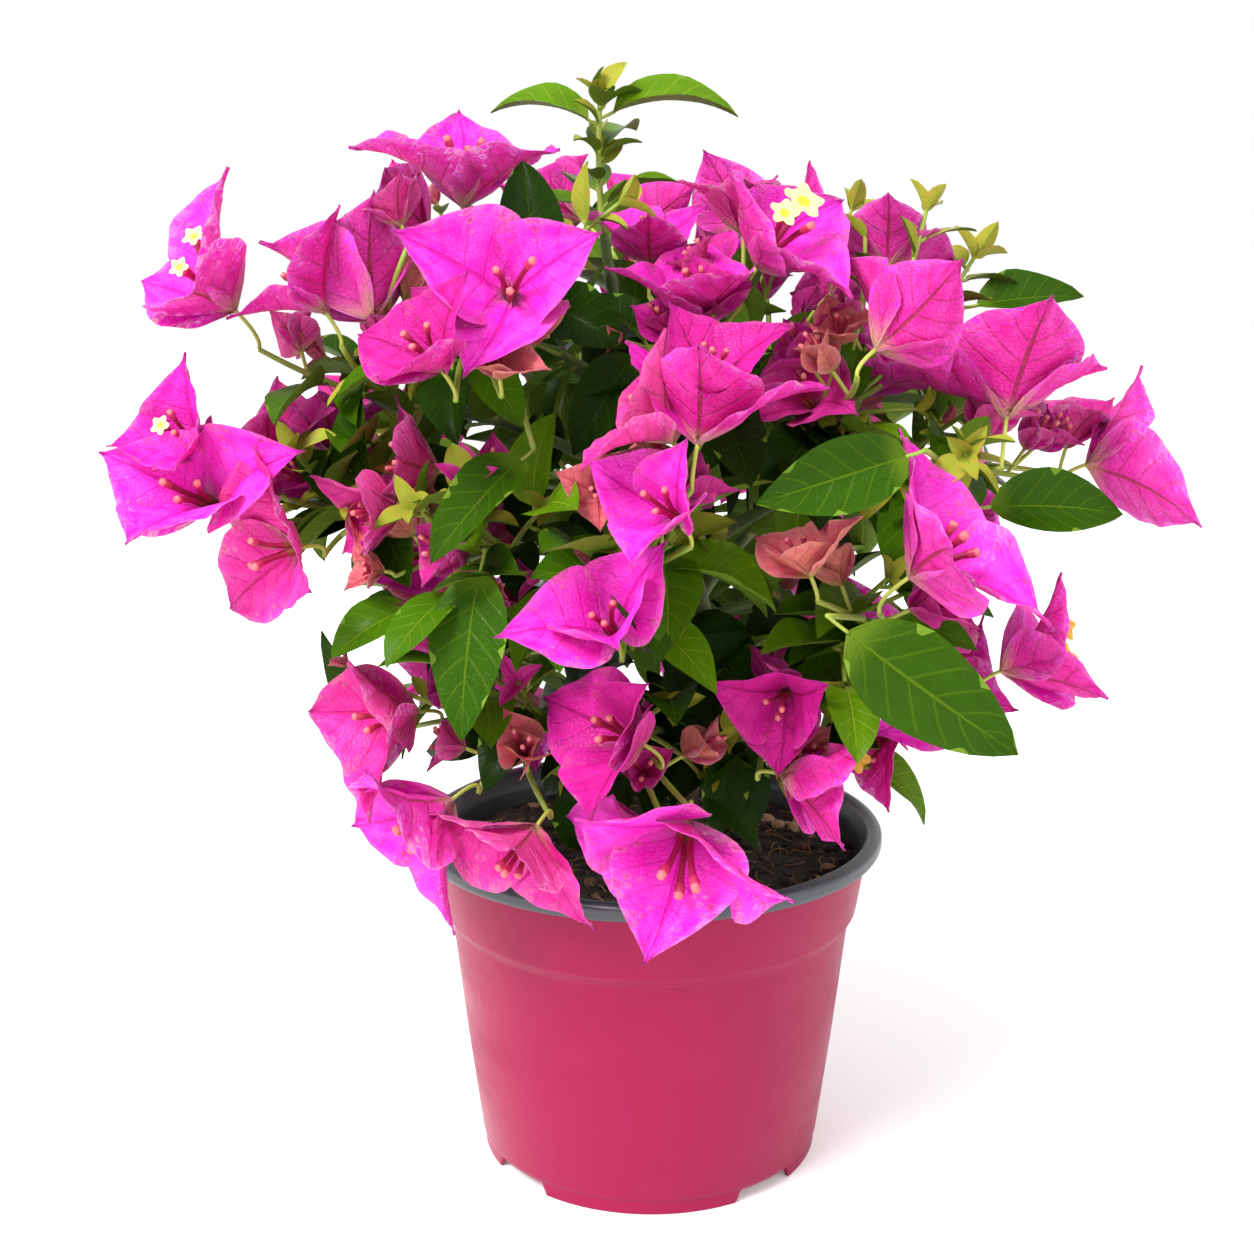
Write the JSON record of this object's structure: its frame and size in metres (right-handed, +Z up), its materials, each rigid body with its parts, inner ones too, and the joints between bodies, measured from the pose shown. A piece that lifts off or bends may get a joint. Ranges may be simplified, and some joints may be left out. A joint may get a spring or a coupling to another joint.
{
  "type": "potted bougainvillea bush",
  "caption": "Bushy flowering shrub with magenta bracts, standing in a round pink nursery pot with a black rolled rim.",
  "frame": {"origin": "middle of the pot's underside, on the floor", "axes": "+Z up along the pot's axis, +X to the viewer's right, -Y toward the viewer"},
  "size_m": [0.3141, 0.2582, 0.3444],
  "materials": {
    "pot_pink": "satin pink plastic",
    "pot_black": "satin black plastic",
    "compost": "damp fibrous potting mix with bark and clay lumps",
    "bark": "rough brown bark",
    "green_stem": "matt green stem",
    "blossom": "papery magenta bracts",
    "foliage": "glossy green leaves"
  },
  "bodies": {
    "root": {"pot_body": "pot_pink", "pot_rim": "pot_black", "soil": "compost", "trunk": "bark", "leader_stem": "green_stem", "bough_high_left": "green_stem", "bough_high_middle": "green_stem", "bough_high_front": "green_stem", "bough_high_right": "green_stem", "bough_right": "green_stem", "bough_right_low": "green_stem", "bough_skirt_right": "green_stem", "bough_skirt_front": "green_stem", "bough_front": "green_stem", "bough_skirt_left": "green_stem", "bough_left": "green_stem", "bough_left_front": "green_stem", "bough_back_low_1": "green_stem", "bough_back_low_2": "green_stem", "bough_back_low_3": "green_stem", "bough_back_middle_1": "green_stem", "bough_back_middle_2": "green_stem", "bough_back_middle_3": "green_stem", "bough_back_middle_4": "green_stem", "bough_back_high_1": "green_stem", "bough_back_high_2": "green_stem", "bough_back_high_3": "green_stem", "mass_high_left": "blossom", "mass_high_middle": "blossom", "mass_high_front": "blossom", "mass_high_right": "blossom", "mass_right": "blossom", "mass_right_low": "blossom", "mass_skirt_right": "blossom", "mass_skirt_front": "blossom", "mass_front": "blossom", "mass_skirt_left": "blossom", "mass_left": "blossom", "mass_left_front": "blossom", "mass_back_low_1": "blossom", "mass_back_low_2": "blossom", "mass_back_low_3": "blossom", "mass_back_middle_1": "blossom", "mass_back_middle_2": "blossom", "mass_back_middle_3": "blossom", "mass_back_middle_4": "blossom", "mass_back_high_1": "blossom", "mass_back_high_2": "blossom", "mass_back_high_3": "blossom", "mass_top": "foliage"}
  },
  "joints": []
}
